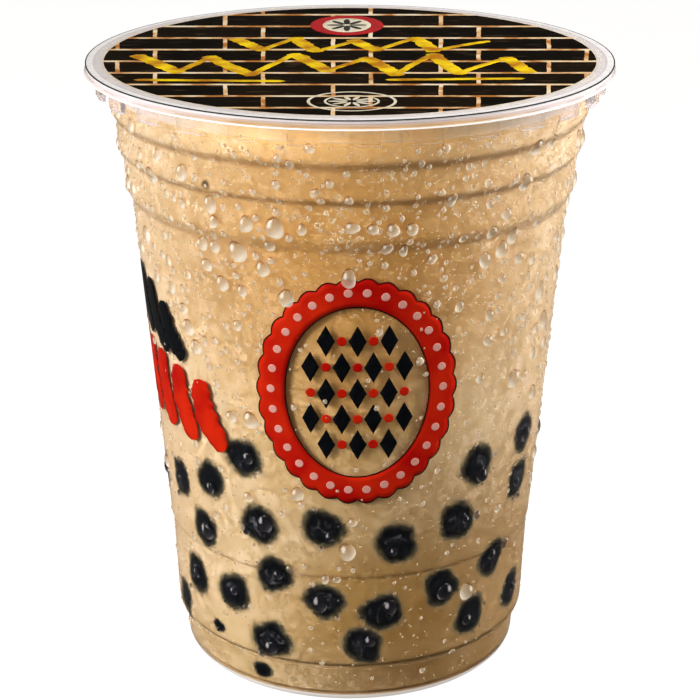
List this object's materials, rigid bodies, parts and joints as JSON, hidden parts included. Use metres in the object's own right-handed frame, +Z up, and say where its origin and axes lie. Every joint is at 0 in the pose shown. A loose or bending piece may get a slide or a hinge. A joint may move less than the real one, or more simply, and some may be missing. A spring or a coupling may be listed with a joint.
{
  "type": "bubble tea",
  "caption": "Milk tea with tapioca pearls in a clear tapered cup with stepped bands, stacking lugs under a flat rim, and a printed film sealed across its mouth.",
  "frame": {"origin": "centre of the cup's foot ring, on the plane that it stands on", "axes": "+Z up along the cup's axis, -Y towards the front print, +X to the right seen from the front"},
  "size_m": [0.095, 0.095, 0.114],
  "materials": {
    "clear_plastic": "clear injection-moulded polypropylene, wet outside with condensation",
    "printed_film": "glossy heat-sealed film with a printed brick pattern",
    "milk_tea": "opaque beige milk tea",
    "tapioca": "glossy black cooked tapioca"
  },
  "bodies": {
    "root": {"cup": "clear_plastic", "seal_film": "printed_film", "milk_tea": "milk_tea", "tapioca_pearls": "tapioca"}
  },
  "joints": []
}
